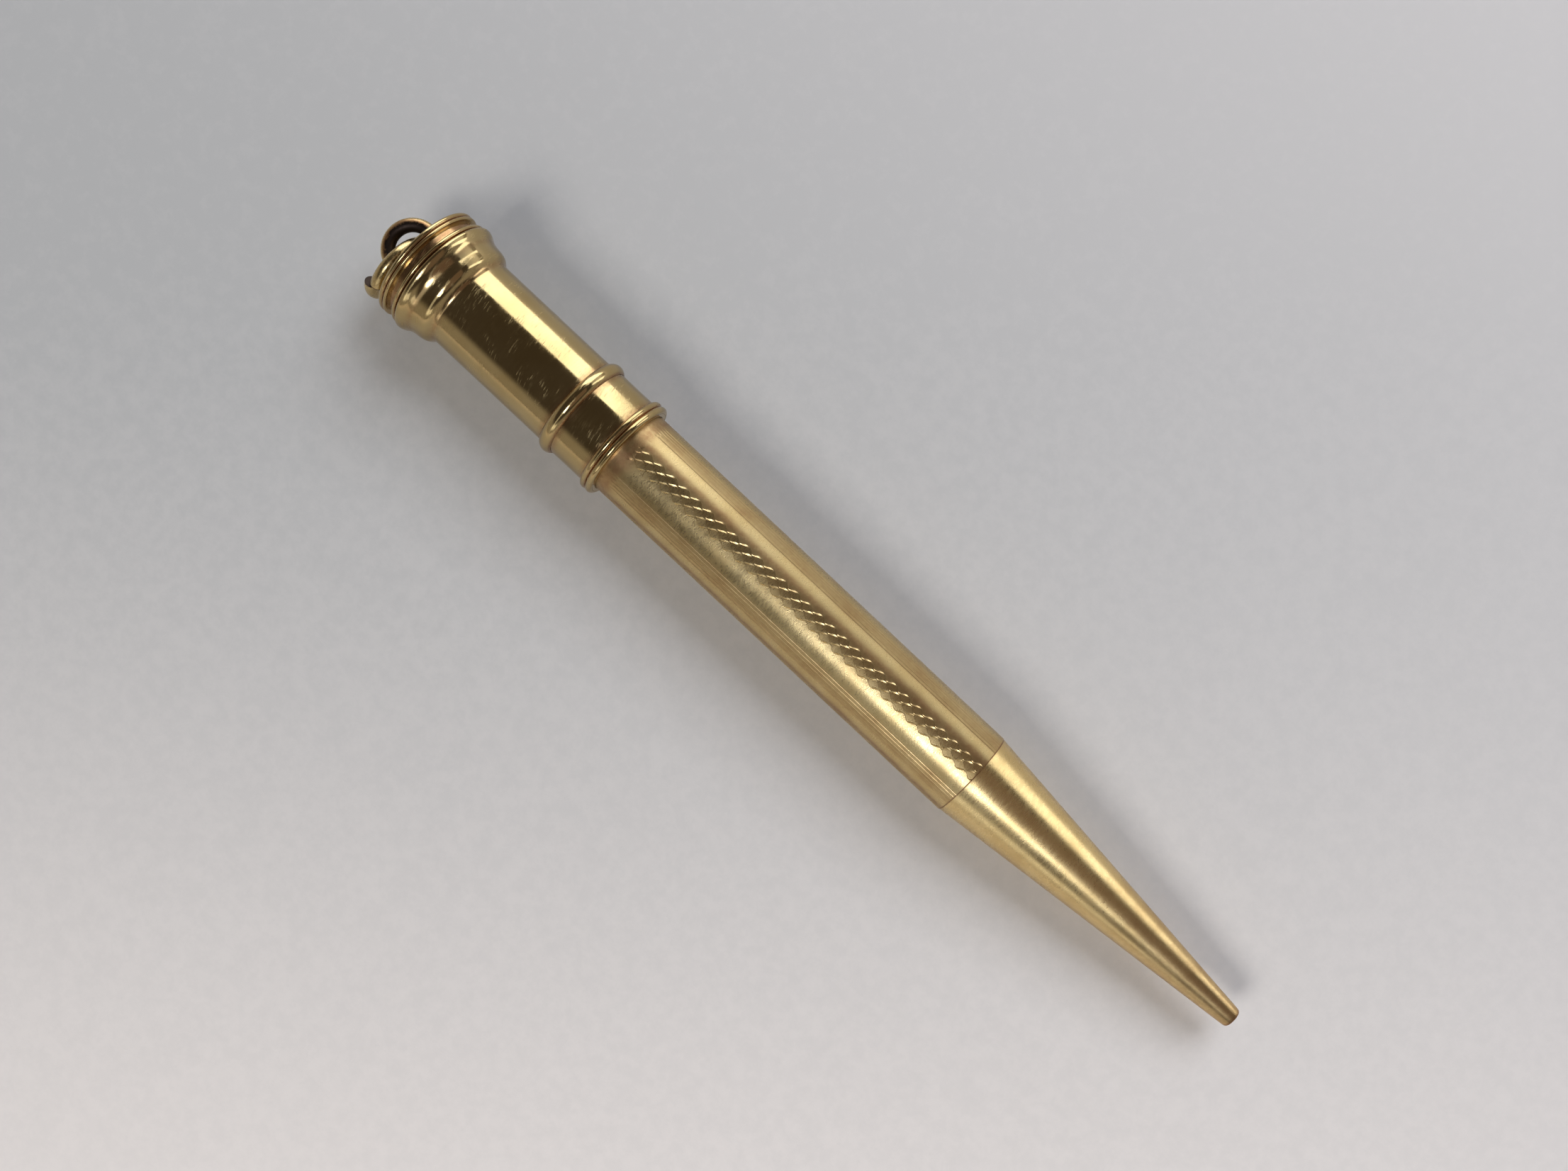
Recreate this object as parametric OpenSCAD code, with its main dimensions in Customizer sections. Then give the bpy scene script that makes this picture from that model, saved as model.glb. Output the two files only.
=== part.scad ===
// Pendant pencil: a propelling pencil with a pull-off cap and a ring to hang it by.
// Every piece is drawn along +Z with the writing end at zero, then laid down along X.

/* [Nose] */
// Diameter of the nose at its writing end
tip_d = 1.84; // [1.7:0.02:2.3]
// Rounding of the writing end
tip_round = 0.2; // [0.1:0.05:0.25]
// Length of the nose, from the writing end to the seam with the barrel
nose_len = 30.3; // [27:0.1:36]
// Wall of the hollow part of the nose
nose_wall = 0.35; // [0.3:0.05:0.5]
// Length of the lead bore at the writing end
tip_bore_len = 5; // [4:0.5:7]
// Length of the solid front of the nose
nose_solid_len = 10; // [9:0.5:13]
// How far the nose stands in from the barrel at the seam
seam_step = 0.05; // [0.03:0.01:0.1]

/* [Barrel] */
// Outside diameter of the barrel
barrel_d = 8.1; // [7.8:0.1:9.5]
// Wall of the barrel
barrel_wall = 0.25; // [0.2:0.05:0.35]
// Length of barrel that shows between the nose and the cap
barrel_show = 39.7; // [38:0.1:50]
// Length of barrel inside the mouth of the cap
barrel_tail = 4.4; // [3.5:0.1:5]

/* [Cap] */
// Length of the cap, from its mouth to the top of the crown
cap_len = 23.7; // [23.3:0.1:30]
// Height of the cap tube's surface above the barrel's
cap_step = 0.27; // [0.2:0.01:0.4]
// Wall of the cap tube
cap_wall = 0.37; // [0.3:0.01:0.45]
// Height of the band's surface above the cap tube's
band_step = 0.1; // [0.08:0.01:0.3]
// Height of the beads above the band
bead_rise = 0.4; // [0.3:0.02:0.6]
// Width of the upper bead
upper_bead_w = 1.3; // [1.1:0.1:2]
// Distance from the mouth of the cap to the middle of the upper bead
upper_bead_at = 5.45; // [5.2:0.05:7]
// Round of each ridge of the lip bead
lip_ridge_r = 0.33; // [0.25:0.01:0.36]
// Distance between the two ridges of the lip bead
lip_ridge_pitch = 0.58; // [0.4:0.02:0.7]

/* [Bell and crown] */
// Height of the bell's shoulder above the cap tube
shoulder_rise = 0.5; // [0.4:0.02:0.7]
// Height of the bell's bulge above the cap tube
bulge_rise = 1.24; // [1.1:0.02:1.6]
// Round of the bulge
bulge_round = 0.2; // [0.15:0.01:0.3]
// Distance from the bell's rim to the middle of the bulge
bulge_back = 0.7; // [0.6:0.05:0.9]
// Round of the shoulder, and of the hollow in front of it
shoulder_round = 0.6; // [0.4:0.05:0.7]
// Length of the bell, from the middle of the shoulder's slope to its rim
bell_len = 3.7; // [3.5:0.1:4.5]
// Thickness of the bell's rim
rim_t = 0.42; // [0.3:0.02:0.5]
// How far the rim stands in from the bulge
rim_step = 0.14; // [0.1:0.01:0.18]
// Wall of the bell at its shoulder
bell_wall = 0.4; // [0.3:0.05:0.5]
// Height of the crown above the bell's rim
crown_h = 1.5; // [1.3:0.1:2]
// How far the crown stands in from the bulge
crown_step = 0.17; // [0.1:0.01:0.3]
// Length of the crown's spigot inside the bell
crown_spigot_len = 1.6; // [1.4:0.1:1.8]
// Round of the crown's end ridge
crown_end_r = 0.24; // [0.2:0.01:0.3]
// Round of the finer ridge under it
crown_ridge_r = 0.17; // [0.14:0.01:0.22]
// Depth of the groove under the crown
crown_groove = 0.45; // [0.3:0.05:0.6]

/* [Bow and jump ring] */
// Diameter of the bow, at the middle of its wire
bow_d = 4.2; // [3.8:0.1:5]
// Diameter of the bow's wire
bow_wire = 1.22; // [1:0.02:1.3]
// Height of the bow's middle above the crown
eye_rise = 1.4; // [1.2:0.05:1.6]
// Diameter of the jump ring, at the middle of its wire
ring_d = 5.6; // [5:0.1:5.8]
// Diameter of the jump ring's wire
ring_wire = 1.18; // [0.9:0.02:1.2]
// How far the jump ring hangs outwards of the bow's middle
ring_out = 0.5; // [0:0.1:0.6]
// Width of the cut in the jump ring
ring_cut = 0.25; // [0.15:0.05:0.5]

/* [Lead and feed] */
// Diameter of the lead
lead_d = 1.18; // [0.9:0.02:1.18]
// Distance from the nose's end back to the retracted lead
lead_rest = 0.5; // [0.3:0.1:1]
// Travel of the feed
feed_travel = 16; // [8:1:16]
// Advance for each full turn of the cap
pitch = 4; // [3.6:0.2:6]
// Diameter of the push rod
rod_d = 1; // [0.8:0.05:1.2]
// Diameter of the lead clutch
clutch_d = 1.6; // [1.55:0.05:1.7]
// Length of the lead clutch
clutch_len = 5; // [5:0.5:6]
// Length of lead held in the clutch, and of rod held at each of its ends
grip_len = 1.8; // [1.5:0.1:2]
// Wall of the lead tube
lead_tube_wall = 0.27; // [0.2:0.01:0.3]
// Solid part of the carrier between its rod and its lug
carrier_web = 0.25; // [0.2:0.05:0.6]
// Length of the carrier behind the middle of its lug
carrier_tail = 2.5; // [1.5:0.1:2.5]
// Diameter of the carrier's lug
lug_d = 0.9; // [0.7:0.05:1]

/* [Drive] */
// Outside diameter of the guide tube
guide_d = 4; // [3.9:0.1:4.3]
// Wall of the guide tube
guide_wall = 0.4; // [0.3:0.05:0.45]
// Wall of the spiral tube
spiral_wall = 0.55; // [0.4:0.05:0.6]
// Plain length of tube past each end of a slot
slot_land = 2.5; // [2:0.1:3]
// Length of the nose bush in the nose
bush_front_len = 3.5; // [3:0.1:5]
// Length of the nose bush in the barrel
bush_rear_len = 6; // [4:0.5:6]
// Front wall of the nose bush
bush_wall = 1.5; // [1:0.1:2]
// Length of the rear bush
rear_bush_len = 6; // [3:0.5:6]
// Length of the retaining collar
collar_len = 1.4; // [1:0.1:1.6]
// Height of the retaining collar above the spiral tube
collar_rise = 0.6; // [0.4:0.05:0.7]
// Thickness of the drive head's flange
flange_t = 1.2; // [0.8:0.1:1.4]
// Length of the drive head's hub inside the friction sleeve
hub_len = 2.5; // [2:0.1:3]

/* [Friction sleeve, magazine and eraser] */
// Length of the friction sleeve
sleeve_len = 9.6; // [8:0.2:10]
// Wall of the friction sleeve
sleeve_wall = 0.3; // [0.25:0.05:0.4]
// Number of slits in the friction sleeve
sleeve_slits = 4; // [3:1:6]
// Width of the fine slits in the friction sleeve and the lead clutch
slit_w = 0.3; // [0.2:0.05:0.4]
// Wall of the magazine tube, the eraser cup and their floors
cup_wall = 0.3; // [0.25:0.05:0.4]
// Length of the magazine tube behind the drive head
magazine_tail = 5.1; // [4:0.1:5.5]
// Number of spare leads
spare_count = 3; // [1:1:3]
// Free length in the magazine behind the spare leads
spare_room = 3.1; // [1:0.1:8]
// Diameter of the eraser
eraser_d = 4.8; // [4.4:0.1:5.4]
// Depth of the eraser in its cup
eraser_seat = 3.5; // [2.5:0.1:3.8]
// Free length between the eraser and the crown
eraser_room = 1.2; // [0.5:0.1:2]

/* [Fits] */
// Radial clearance of parts that turn or slide in each other
run_gap = 0.05; // [0.03:0.01:0.08]
// Radial clearance of parts that are pressed or soldered together
seat_gap = 0.02; // [0.01:0.01:0.02]
// End clearance between moving parts
end_gap = 0.3; // [0.2:0.05:0.4]

/* [Hidden] */
$fn = 96;

gold = "#c9a45a";
brass = "#b58a3c";
steel = "#9a9a98";
graphite = "#33343a";
rubber = "#b4553f";
overcut = 1; // how far a cutting shape runs past the surface that it cuts

// Outside of the pencil, by distance from the writing end
barrel_r = barrel_d / 2;
tip_r = tip_d / 2;
seam_r = barrel_r - seam_step;
seam_z = nose_len;
mouth_z = seam_z + barrel_show;
barrel_end_z = mouth_z + barrel_tail;
crown_top_z = mouth_z + cap_len;
eye_z = crown_top_z + eye_rise;
cap_r = barrel_r + cap_step;
cap_bore_r = cap_r - cap_wall;
band_r = cap_r + band_step;
bead_r = band_r + bead_rise;
upper_bead_z = mouth_z + upper_bead_at;
rim_z = crown_top_z - crown_h;
shoulder_z = rim_z - bell_len;
shoulder_r = cap_r + shoulder_rise;
bulge_r = cap_r + bulge_rise;
bulge_z = rim_z - bulge_back;
rim_r = bulge_r - rim_step;
bell_bore_r = shoulder_r - bell_wall;
crown_r = bulge_r - crown_step;

// Bush, tubes and feed inside
function nose_r(z) = tip_r + (seam_r - tip_r) * z / nose_len;
lead_r = lead_d / 2;
clutch_r = clutch_d / 2;
rod_r = rod_d / 2;
lug_r = lug_d / 2;
lead_bore_r = clutch_r + run_gap;
lead_tube_r = lead_bore_r + lead_tube_wall;
bush_front_z = seam_z - bush_front_len;
bush_rear_z = seam_z + bush_rear_len;
guide_front_z = bush_front_z + bush_wall;
socket_r = nose_r(bush_front_z) - nose_wall;
guide_r = guide_d / 2;
guide_bore_r = guide_r - guide_wall;
spiral_bore_r = guide_r + run_gap;
spiral_r = spiral_bore_r + spiral_wall;
slot_w = lug_d + end_gap;
spiral_front_z = bush_rear_z + end_gap;
slot_front_z = spiral_front_z + slot_land;
lug_front_z = slot_front_z + lug_r + end_gap;
lug_z = lug_front_z + feed_travel;
slot_rear_z = lug_z + lug_r + end_gap;
guide_rear_z = slot_rear_z + slot_land;
carrier_r = guide_bore_r - run_gap;
carrier_front_z = lug_z - lug_r - carrier_web - grip_len;
carrier_rear_z = lug_z + carrier_tail;
clutch_front_z = tip_bore_len + feed_travel + end_gap;
clutch_rear_z = clutch_front_z + clutch_len;

// Drive behind the barrel
rear_bush_z = barrel_end_z - rear_bush_len;
collar_z = rear_bush_z - end_gap - collar_len;
collar_r = spiral_r + collar_rise;
flange_z = barrel_end_z + end_gap;
hub_z = flange_z + flange_t;
spiral_rear_z = hub_z + hub_len;
sleeve_r = cap_bore_r - run_gap;
hub_r = sleeve_r - sleeve_wall - seat_gap;
magazine_r = spiral_bore_r - seat_gap;
magazine_bore_r = magazine_r - cup_wall;
magazine_front_z = guide_rear_z + end_gap;
magazine_rear_z = spiral_rear_z + magazine_tail;
spare_z = magazine_front_z + cup_wall;
spare_len = magazine_rear_z - spare_room - spare_z;
eraser_r = eraser_d / 2;
cup_r = eraser_r + seat_gap + cup_wall;
cup_front_z = spiral_rear_z + end_gap;
eraser_z = magazine_rear_z + cup_wall;
eraser_len = rim_z - crown_spigot_len - eraser_room - eraser_z;

// Bow and jump ring
bow_r = bow_d / 2;
ring_r = ring_d / 2;
ring_drop = ring_r - ring_wire / 2 - bow_wire / 2 - run_gap;
ring_aside = sqrt(pow(bow_r, 2) - pow(ring_out, 2));
ring_cut_angle = 37; // above level, on the side away from the bow

// Lays a piece drawn along +Z down along X, with the writing end towards +X and the eye at the origin
module lying() {
    translate([eye_z, 0, 0])
        rotate([0, -90, 0])
            children();
}

// A plain ring or tube between two distances from the writing end
module tube(outer_r, bore_r, front, rear) {
    difference() {
        translate([0, 0, front])
            cylinder(r = outer_r, h = rear - front);
        translate([0, 0, front - overcut])
            cylinder(r = bore_r, h = rear - front + 2 * overcut);
    }
}

// A bore between two distances from the writing end
module bore(r, front, rear) {
    translate([0, 0, front])
        cylinder(r = r, h = rear - front);
}

// A ring of round wire about the Z axis
module wire_ring(middle_r, wire_d) {
    rotate_extrude()
        translate([middle_r, 0])
            circle(d = wire_d, $fn = 48);
}

// Right-angled strip from a bore outwards, for the profile of a ring
module strip(bore_r, outer_r, front, rear) {
    translate([bore_r, front])
        square([outer_r - bore_r, rear - front]);
}

module nose_cone() {
    color(gold)
        lying()
            difference() {
                nose_outside();
                bore(lead_r + run_gap, -overcut, tip_bore_len + overcut);
                bore(lead_tube_r + seat_gap, tip_bore_len, nose_solid_len + overcut);
                translate([0, 0, nose_solid_len])
                    cylinder(
                        r1 = nose_r(nose_solid_len) - nose_wall,
                        r2 = socket_r,
                        h = bush_front_z - nose_solid_len
                    );
                bore(socket_r, bush_front_z - seat_gap, seam_z + overcut);
            }
}

// The tapered outside of the nose, with its rounded end
module nose_outside() {
    rotate_extrude()
        union() {
            polygon([
                [0, 0],
                [tip_r - tip_round, 0],
                [nose_r(tip_round), tip_round],
                [seam_r, seam_z],
                [0, seam_z]
            ]);
            intersection() {
                translate([tip_r - tip_round, tip_round])
                    circle(r = tip_round, $fn = 48);
                square([tip_r, tip_round]);
            }
        }
}

module barrel_tube() {
    color(gold)
        lying()
            tube(barrel_r, barrel_r - barrel_wall, seam_z, barrel_end_z);
}

module nose_bush() {
    color(brass)
        lying()
            difference() {
                union() {
                    bore(socket_r - seat_gap, bush_front_z, seam_z);
                    bore(barrel_r - barrel_wall - seat_gap, seam_z, bush_rear_z);
                }
                bore(lead_tube_r + seat_gap, bush_front_z - overcut, bush_rear_z);
                bore(guide_r + seat_gap, guide_front_z, bush_rear_z + overcut);
            }
}

module lead_tube() {
    color(brass)
        lying()
            tube(lead_tube_r, lead_bore_r, tip_bore_len, guide_front_z);
}

module guide_tube() {
    color(brass)
        lying()
            difference() {
                tube(guide_r, guide_bore_r, guide_front_z, guide_rear_z);
                translate([0, -slot_w / 2, slot_front_z])
                    cube([guide_r + overcut, slot_w, slot_rear_z - slot_front_z]);
            }
}

module rear_bush() {
    color(brass)
        lying()
            tube(barrel_r - barrel_wall - seat_gap, spiral_r + run_gap, rear_bush_z, barrel_end_z);
}

module spiral_tube() {
    color(brass)
        lying()
            difference() {
                tube(spiral_r, spiral_bore_r, spiral_front_z, spiral_rear_z);
                helical_slot();
            }
}

// A left-hand helical cut, as wide along the axis as the straight slot is across it
module helical_slot() {
    length = slot_rear_z - slot_front_z;
    slot_slices = ceil(24 * length / pitch);
    half_angle = 180 * slot_w / pitch;
    inner = guide_bore_r;
    outer = spiral_r + 2 * overcut;
    sweep = [-half_angle, -half_angle / 3, half_angle / 3, half_angle];
    translate([0, 0, slot_front_z])
        rotate([0, 0, 360 * (lug_z - slot_front_z) / pitch])
            linear_extrude(height = length, twist = 360 * length / pitch, slices = slot_slices, segments = 8)
                polygon(concat(
                    [for (a = sweep) outer * [cos(a), sin(a)]],
                    [for (a = -sweep) inner * [cos(a), sin(a)]]
                ));
}

module retaining_collar() {
    color(steel)
        lying()
            tube(collar_r, spiral_r + seat_gap, collar_z, collar_z + collar_len);
}

module drive_head() {
    color(brass)
        lying()
            difference() {
                union() {
                    bore(sleeve_r, flange_z, hub_z);
                    bore(hub_r, hub_z, spiral_rear_z);
                }
                bore(spiral_r + seat_gap, flange_z - overcut, spiral_rear_z + overcut);
            }
}

module friction_sleeve() {
    color(brass)
        lying()
            difference() {
                tube(sleeve_r, sleeve_r - sleeve_wall, hub_z, hub_z + sleeve_len);
                for (turn = [0 : sleeve_slits - 1])
                    rotate([0, 0, (turn + 0.5) * 360 / sleeve_slits])
                        translate([0, -slit_w / 2, spiral_rear_z + end_gap])
                            cube([sleeve_r + overcut, slit_w, sleeve_len]);
            }
}

module magazine_tube() {
    color(brass)
        lying()
            difference() {
                bore(magazine_r, magazine_front_z, magazine_rear_z);
                bore(magazine_bore_r, spare_z, magazine_rear_z + overcut);
            }
}

module spare_leads() {
    ring = spare_count > 1 ? (lead_r + seat_gap) / sin(180 / spare_count) : 0;
    color(graphite)
        lying()
            for (turn = [0 : spare_count - 1])
                rotate([0, 0, turn * 360 / spare_count])
                    translate([ring, 0, spare_z])
                        cylinder(r = lead_r, h = spare_len);
}

module eraser_cup() {
    color(brass)
        lying()
            difference() {
                bore(cup_r, cup_front_z, eraser_z + eraser_seat);
                bore(magazine_r + seat_gap, cup_front_z - overcut, magazine_rear_z);
                bore(eraser_r + seat_gap, eraser_z, eraser_z + eraser_seat + overcut);
            }
}

module eraser() {
    color(rubber)
        lying()
            bore(eraser_r, eraser_z, eraser_z + eraser_len);
}

module cap_tube() {
    color(gold)
        lying()
            rotate_extrude()
                difference() {
                    union() {
                        strip(0, cap_r, flange_z, shoulder_z);
                        bell_outside();
                    }
                    strip(-overcut, cap_bore_r, flange_z - overcut, rim_z + overcut);
                    strip(-overcut, bell_bore_r, rim_z - crown_spigot_len, rim_z + overcut);
                }
}

// Half outline of the belled end: hollow, shoulder, cone, bulge and thin rim
module bell_outside() {
    rim_round = rim_t / 2;
    shoulder_half = shoulder_round * sin(acos(1 - shoulder_rise / 2 / shoulder_round));
    shoulder_mid = [shoulder_r - shoulder_round, shoulder_z + shoulder_half];
    bulge_mid = [bulge_r - bulge_round, bulge_z];
    across = bulge_mid - shoulder_mid;
    facing = atan2(across[0], across[1]) + acos((shoulder_round - bulge_round) / norm(across));
    outwards = [sin(facing), cos(facing)];
    difference() {
        polygon([
            [0, shoulder_z - shoulder_half],
            [cap_r, shoulder_z - shoulder_half],
            [cap_r + shoulder_rise / 2, shoulder_z],
            [0, shoulder_z]
        ]);
        translate([cap_r + shoulder_round, shoulder_z - shoulder_half])
            circle(r = shoulder_round);
    }
    translate(shoulder_mid)
        circle(r = shoulder_round);
    polygon([
        [0, shoulder_z],
        [cap_r + shoulder_rise / 2, shoulder_z],
        shoulder_mid,
        shoulder_mid + shoulder_round * outwards,
        bulge_mid + bulge_round * outwards,
        bulge_mid,
        [0, bulge_z]
    ]);
    translate(bulge_mid)
        circle(r = bulge_round, $fn = 48);
    strip(0, rim_r - rim_round, bulge_z, rim_z);
    translate([rim_r - rim_round, rim_z - rim_round])
        circle(r = rim_round, $fn = 48);
}

module cap_band() {
    color(gold)
        lying()
            rotate_extrude()
                difference() {
                    strip(barrel_r + run_gap, band_r, mouth_z, upper_bead_z + upper_bead_w / 2);
                    strip(0, cap_r + seat_gap, flange_z, upper_bead_z + upper_bead_w);
                }
}

module lip_bead() {
    ridge_r = bead_r - lip_ridge_r;
    color(gold)
        lying()
            rotate_extrude()
                difference() {
                    union() {
                        for (ridge = [0, 1])
                            translate([ridge_r, mouth_z + lip_ridge_r + ridge * lip_ridge_pitch])
                                circle(r = lip_ridge_r, $fn = 48);
                        strip(band_r, ridge_r, mouth_z, mouth_z + 2 * lip_ridge_r + lip_ridge_pitch);
                    }
                    strip(0, band_r + seat_gap, mouth_z - overcut, upper_bead_z);
                }
}

module upper_bead() {
    half_w = upper_bead_w / 2;
    round_r = (half_w * half_w + bead_rise * bead_rise) / (2 * bead_rise);
    color(gold)
        lying()
            rotate_extrude()
                intersection() {
                    translate([bead_r - round_r, upper_bead_z])
                        circle(r = round_r);
                    strip(band_r + seat_gap, bead_r, upper_bead_z - upper_bead_w, upper_bead_z + upper_bead_w);
                }
}

module crown() {
    color(gold)
        lying()
            difference() {
                rotate_extrude()
                    crown_outline();
                bow_wire_ring(bow_wire + 2 * seat_gap);
            }
}

// Half outline of the crown: spigot, grooved neck and two ridges
module crown_outline() {
    ridge_z = crown_top_z - 2 * crown_end_r - crown_ridge_r;
    strip(0, bell_bore_r - seat_gap, rim_z - crown_spigot_len, rim_z);
    strip(0, crown_r - crown_groove, rim_z, crown_top_z);
    strip(0, crown_r - crown_end_r, ridge_z, crown_top_z);
    translate([crown_r - crown_end_r, crown_top_z - crown_end_r])
        circle(r = crown_end_r, $fn = 48);
    strip(0, crown_r - crown_ridge_r, ridge_z - crown_ridge_r, ridge_z + crown_ridge_r);
    translate([crown_r - crown_ridge_r, ridge_z])
        circle(r = crown_ridge_r, $fn = 48);
}

module bow() {
    color(gold)
        lying()
            bow_wire_ring(bow_wire);
}

// The bow's ring, standing on the crown in the level plane
module bow_wire_ring(wire_d) {
    translate([0, 0, eye_z])
        rotate([0, 90, 0])
            wire_ring(bow_r, wire_d);
}

module jump_ring() {
    color(gold)
        lying()
            translate([-ring_drop, -ring_aside, eye_z + ring_out])
                difference() {
                    wire_ring(ring_r, ring_wire);
                    rotate([0, 0, -90 + ring_cut_angle])
                        translate([ring_r - ring_wire, -ring_cut / 2, -ring_wire])
                            cube([2 * ring_wire, ring_cut, 2 * ring_wire]);
                }
}

module carrier() {
    color(steel)
        lying()
            difference() {
                bore(carrier_r, carrier_front_z, carrier_rear_z);
                bore(rod_r + seat_gap, carrier_front_z - overcut, carrier_front_z + grip_len);
                translate([0, 0, lug_z])
                    rotate([0, 90, 0])
                        cylinder(r = lug_r + seat_gap, h = carrier_r + overcut);
            }
}

module carrier_lug() {
    color(steel)
        lying()
            translate([0, 0, lug_z])
                rotate([0, 90, 0])
                    cylinder(r = lug_r, h = spiral_r - run_gap);
}

module push_rod() {
    color(steel)
        lying()
            bore(rod_r, clutch_rear_z - grip_len, carrier_front_z + grip_len);
}

module lead_clutch() {
    color(brass)
        lying()
            difference() {
                bore(clutch_r, clutch_front_z, clutch_rear_z);
                bore(lead_r + seat_gap, clutch_front_z - overcut, clutch_front_z + grip_len);
                bore(rod_r + seat_gap, clutch_rear_z - grip_len, clutch_rear_z + overcut);
                for (turn = [0, 90])
                    rotate([0, 0, turn])
                        translate([-clutch_d, -slit_w / 2, clutch_front_z - overcut])
                            cube([2 * clutch_d, slit_w, overcut + grip_len]);
            }
}

module lead() {
    color(graphite)
        lying()
            bore(lead_r, lead_rest, clutch_front_z + grip_len);
}

nose_cone();
barrel_tube();
nose_bush();
lead_tube();
guide_tube();
rear_bush();
spiral_tube();
retaining_collar();
drive_head();
friction_sleeve();
magazine_tube();
spare_leads();
eraser_cup();
eraser();
cap_tube();
cap_band();
lip_bead();
upper_bead();
crown();
bow();
jump_ring();
carrier();
carrier_lug();
push_rod();
lead_clutch();
lead();
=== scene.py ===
import math

import bmesh
import bpy
import numpy as np
from mathutils import Matrix, Vector


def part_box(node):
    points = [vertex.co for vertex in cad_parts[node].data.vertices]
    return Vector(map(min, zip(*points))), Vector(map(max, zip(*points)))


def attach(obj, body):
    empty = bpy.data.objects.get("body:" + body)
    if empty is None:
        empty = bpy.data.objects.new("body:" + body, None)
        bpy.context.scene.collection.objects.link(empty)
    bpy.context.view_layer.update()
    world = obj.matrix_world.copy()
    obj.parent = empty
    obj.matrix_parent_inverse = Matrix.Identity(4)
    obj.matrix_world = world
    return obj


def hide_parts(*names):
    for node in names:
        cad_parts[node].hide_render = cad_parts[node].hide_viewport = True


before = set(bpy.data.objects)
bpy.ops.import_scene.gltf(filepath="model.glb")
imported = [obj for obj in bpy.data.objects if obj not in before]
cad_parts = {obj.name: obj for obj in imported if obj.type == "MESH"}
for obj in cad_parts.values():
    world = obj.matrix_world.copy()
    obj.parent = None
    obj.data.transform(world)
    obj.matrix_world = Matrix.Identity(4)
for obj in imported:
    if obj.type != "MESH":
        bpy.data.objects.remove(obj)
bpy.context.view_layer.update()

# Lengths are in millimetres, and become metres where a mesh, lamp or camera is made.
# Every turned piece lies about the X axis, with the writing end towards +X.
MM = 0.001
TURN = 2 * math.pi
SEGMENTS = 256
LATHE_STEP = 0.4
WIRE_SIDES = 48
SHARP_ANGLE = math.radians(18)
SLIDE_GAP = 0.05
UNROLL_R = 4.2

# Camera, as the photograph was taken
PHOTO_WIDTH = 2212
FOCAL_PIXELS = 2280
SENSOR_WIDTH = 36
CAMERA_AT = Vector((50.6, 0.78, 136.8))
FRAME_MIDDLE = Vector((42.36, 0.78, 0))
CAMERA_UP = Vector((-0.684, 0.729, 0)).normalized()

# Nose
TIP_R = 0.92
TIP_ROUND = 0.2
TIP_BORE_LEN = 5
NOSE_SOLID_LEN = 10
NOSE_WALL = 0.35
LEAD_TUBE_SEAT_R = 1.14
SOCKET_LEN = 3.5
SEAM_BEVEL = 0.03
SEAM_STAIN = 0.05

# Barrel and its engine turning
BARREL_WALL = 0.25
PANELS = 4
PANEL_TURN = math.radians(4.5)
WAVE_ROWS = 4
WAVE_ROW_PITCH = 0.42
WAVE_LENGTH = 1.381
WAVE_HEIGHT = 0.145
WAVE_LEAN = -0.25
WAVE_CUT = (-0.05, 0.13, 0.055)
WAVE_FINE = 0.25
WAVE_SWELL = 0.8
WAVE_SWELL_POWER = 1.5
LINES = 5
LINE_PITCH = 0.33
LINE_CUT = (-0.04, 0.04, 0.016)
CUT_STEP = 0.1
PATTERN_MARGIN = 0.9
PATTERN_FADE = 0.6
PLAIN_STEP = math.radians(3)
CUT_SHADE = 0.15
LINES_SHADE = 0.2
# A painted brown reflection of a warm ceiling, in a strip along one side of the waves
PAINTED_BAND_SHADE = 0.38
PAINTED_BAND_AT = 1.15
PAINTED_BAND_REACH = 0.45

# Cap
BEAD_SEAT = 0.02
LIP_RIDGE_R = 0.33
LIP_RIDGE_PITCH = 0.58
CAP_R = 4.32
BULGE_X = 3.62
BULGE_ROUND = 0.2
WAIST_X = 4.64
NECK_X = 6.67
BELL_SLOPES = (
    (BULGE_X, 0.0), (3.84, 0.29), (4.2, 0.70), (WAIST_X, 0.29), (5.2, 0.09), (5.7, 0.14),
    (6.02, 0.40), (6.35, 1.0), (NECK_X, 0.40), (6.95, 0.0),
)
BELL_STEPS = 72
RIM_R = 5.42
RIM_ROUND = 0.21
CAP_BORE_R = 3.95
BELL_BORE_R = 4.42

# Crown
CROWN_END_R = 0.24
CROWN_RIDGE_R = 0.17
CROWN_GROOVE_R = 4.94
CROWN_SPIGOT_LEN = 1.6

# Bow and jump ring
BOW_R = 2.1
RING_CUT_ANGLE = math.radians(53)
RING_CUT = 0.25
RING_TWIST_REAR = -0.16
RING_TWIST_FRONT = 0.4
# Painted shade on the bow's wire: how far it reaches round from the inner side, and how softly it fades
BOW_SHADE_REACH = 0.85
BOW_SHADE_FADE = 0.8

# Lead and eraser
LEAD_CHAMFER = 0.35
LEAD_SHOULDER = 0.85
LEAD_POINT = 0.45
ERASER_ROUND = 0.7

# Colours, linear
GOLD = (0.80, 0.595, 0.275, 1)
GOLD_DEEP = (0.74, 0.53, 0.225, 1)
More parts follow.
